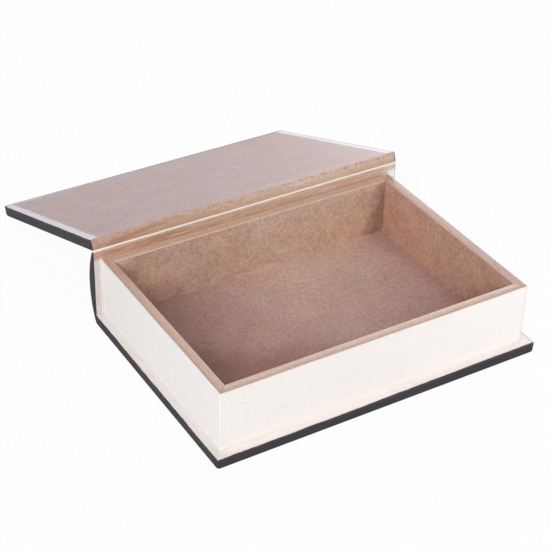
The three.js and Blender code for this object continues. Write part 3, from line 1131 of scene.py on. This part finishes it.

# Inside colour, upright streaks, rim outside and inside, painted shade line beside the paint on the rim, the
# paint's lap
bare_walls = {side: wall_finish(side, *values) for side, values in (
    ("front", ("a98a7f", 0.07, "c6a99a", "dabaaa", 0.15, 0.15)),
    ("rear", ("c6a794", 0.04, "d6b5a2", "cdb1a0", 0.0, 0.0)),
    ("left", ("a98a7f", 0.07, "c9aa9b", "cfad9b", 0.6, 0.3)),
    ("right", ("be9785", 0.16, "b49286", "c6a08e", 0.15, 0.2)),
)}
base_leather = leather_finish("charcoal_leatherette_base", LEDGE + LAP, -1, 0.2, 0.8)
lid_leather = leather_finish("charcoal_leatherette_lid", SHUT_TOP - LEDGE - LAP, 1, 2.0)
spine_leather = leather_finish("charcoal_leatherette_spine", painted_end=True)
front_pages = page_finish("page_edges_front", (0.02, 1.5, 1.5), "f2edea", "e9e0d8", True)
side_pages = page_finish("page_edges_sides", (1.5, 0.02, 1.5), "f4f1ef", "eae5e1", False)
cream_cloth = cloth_finish()


# Pieces

base_board = weld("bottom_board_bare", board_slab(board_high[1]))
settle(base_board, floor_and_ledge, "mdf", "box", "bottom_board")
base_skin = weld("base_leatherette", leather_tray(1, SPINE_Y, SPINE_Y, 0.0, 0.1, 0.7))
settle(base_skin, base_leather, "leatherette", "box", "base_cover")

lid_board = weld("lid_board_bare", upside_down(board_slab(LID_BACK)), turned_open)
settle(lid_board, lid_bare, "mdf", "lid", "lid_board")
lid_sheet_back = LID_BACK - COVERING * math.sin(NOSE_SLOPE)
lid_dip = COVERING * (1 - math.cos(NOSE_SLOPE))
lid_tray = leather_tray(2, lid_sheet_back, LID_BACK, lid_dip, 0.5, 0.0)
lid_skin = weld("lid_leatherette", upside_down(lid_tray), turned_open)
settle(lid_skin, lid_leather, "leatherette", "lid", "lid_cover")

long_wall = mitred_wall(BLOCK_END - MITRE_GAP)
short_wall = mitred_wall(SHORT_HALF - MITRE_GAP)
for side, wall, x, y in (
        ("front", long_wall, 0, front_low[1]), ("rear", long_wall, 0, rear_high[1]),
        ("left", short_wall, -BLOCK_END, SHORT_MIDDLE), ("right", short_wall, BLOCK_END, SHORT_MIDDLE)):
    piece = weld(side + "_wall_bare", facing(side, wall, x, y))
    settle(piece, bare_walls[side], "mdf", "box", side + "_wall")

side_front = BLOCK_FRONT + PAGE_CORNER
side_half = (side_page_high[1] - side_front) / 2
side_middle = (side_page_high[1] + side_front) / 2
for side, pages, finish, x, y in (
        ("front", page_edge(BLOCK_HALF, 30, PAGE_CORNER), front_pages, 0, BLOCK_FRONT),
        ("left", page_edge(side_half, 50, 0), side_pages, -BLOCK_HALF, side_middle),
        ("right", page_edge(side_half, 70, 0), side_pages, BLOCK_HALF, side_middle)):
    piece = weld(side + "_page_edge_combed", facing(side, pages, x, y))
    settle(piece, finish, "page_white", "box", side + "_page_edge")

spine_board = weld("spine_moulding_bare", spine_block())
settle(spine_board, spine_bare, "mdf", "box", "spine_moulding")
spine_wrap = weld("spine_leatherette", spine_skin())
settle(spine_wrap, spine_leather, "leatherette", "box", "spine_cover")

# The hinge's cloth and leatherette ride on no body, and their points are baked in place
cloth = weld("hinge_cloth_strip", hinge_cloth())
settle(cloth, cream_cloth, "hinge_cloth", None, "hinge_fold")
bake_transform(cloth)
hinge_skin = weld("hinge_leatherette", hinge_leather())
settle(hinge_skin, spine_leather, "leatherette", None)
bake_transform(hinge_skin)


# Table top, light and camera, in metres

REACH = 6.0
TABLE_DROP = 0.0002
GLOW = 0.96
AMBIENT = 0.28
AIM = np.array([0, 0, 0.03])


def table_finish():
    """White table top: nearly as bright as the background to the camera, and else lit, to keep the shadow."""
    made = bpy.data.materials.new("white_table")
    made.use_nodes = True
    tree = made.node_tree
    tree.nodes.clear()
    lit = put("BsdfDiffuse", None, {"Color": (0.93, 0.93, 0.93, 1)}, tree)
    glow = put("Emission", None, {"Color": (1, 1, 1, 1), "Strength": 1.0}, tree)
    seen = product(put("LightPath", tree=tree).outputs["Is Camera Ray"], GLOW)
    both = put("MixShader", None, {0: seen, 1: lit.outputs[0], 2: glow.outputs[0]})
    put("OutputMaterial", None, {"Surface": both.outputs[0]})
    return made


def lamp(name, place, size, power):
    """A square soft lamp at a place, turned to the box."""
    light = bpy.data.lights.new(name, "AREA")
    light.shape = "SQUARE"
    light.size = size
    light.energy = power
    made = bpy.data.objects.new(name, light)
    x, y, z = AIM - np.array(place)
    made.location = place
    made.rotation_euler = (math.acos(-z / math.hypot(x, y, z)), 0, math.atan2(y, x) - math.pi / 2)
    bpy.context.scene.collection.objects.link(made)


table_mesh = bpy.data.meshes.new("table_top")
table_corners = [(REACH * x, REACH * y, -TABLE_DROP) for x, y in ((-1, -1), (1, -1), (1, 1), (-1, 1))]
table_mesh.from_pydata(table_corners, [], [(0, 1, 2, 3)])
table_mesh.materials.append(table_finish())
table_top = bpy.data.objects.new("table_top", table_mesh)
bpy.context.scene.collection.objects.link(table_top)

# The room is white to the camera and in reflections, and dimmer as light on the box
world = bpy.data.worlds.new("studio")
bpy.context.scene.world = world
world.use_nodes = True
sky = world.node_tree
sky.nodes.clear()
rays = put("LightPath", tree=sky).outputs
mirrored = larger(rays["Is Glossy Ray"], rays["Is Transmission Ray"])
plain = larger(rays["Is Camera Ray"], mirrored)
strength = times_plus(plain, 1.0 - AMBIENT, AMBIENT)
background = put("Background", None, {"Color": (1, 1, 1, 1), "Strength": strength})
put("OutputWorld", None, {"Surface": background.outputs[0]})

lamp("key", (-1.549, -1.475, 1.419), 1.1, 46)
lamp("right", (0.9, -0.6, 0.35), 0.5, 2.5)
lamp("back", (1.2, 1.32, 0.5), 0.65, 14)

# The camera as fitted to the box's corners in the photograph
PITCH, YAW, ROLL = (math.radians(angle) for angle in (34.5943, 31.5241, 1.44))
EYE = (-0.517233, -0.785736, 0.705665)
FOCAL_LENGTH = 101.923
forward = np.array([math.sin(YAW) * math.cos(PITCH), math.cos(YAW) * math.cos(PITCH), -math.sin(PITCH)])
rightward = np.array([math.cos(YAW), -math.sin(YAW), 0])
upward = np.cross(rightward, forward)
across_view = math.cos(ROLL) * rightward + math.sin(ROLL) * upward
up_view = math.cos(ROLL) * upward - math.sin(ROLL) * rightward

lens = bpy.data.cameras.new("camera")
lens.sensor_width = 36
lens.lens = FOCAL_LENGTH
lens.clip_start = 0.05
camera = bpy.data.objects.new("camera", lens)
matrix = np.eye(4)
matrix[:3, :3] = np.stack([across_view, up_view, -forward], axis=1)
matrix[:3, 3] = EYE
camera.matrix_world = Matrix(matrix.tolist())
bpy.context.scene.collection.objects.link(camera)
bpy.context.scene.camera = camera
bpy.context.scene.view_settings.view_transform = "Standard"
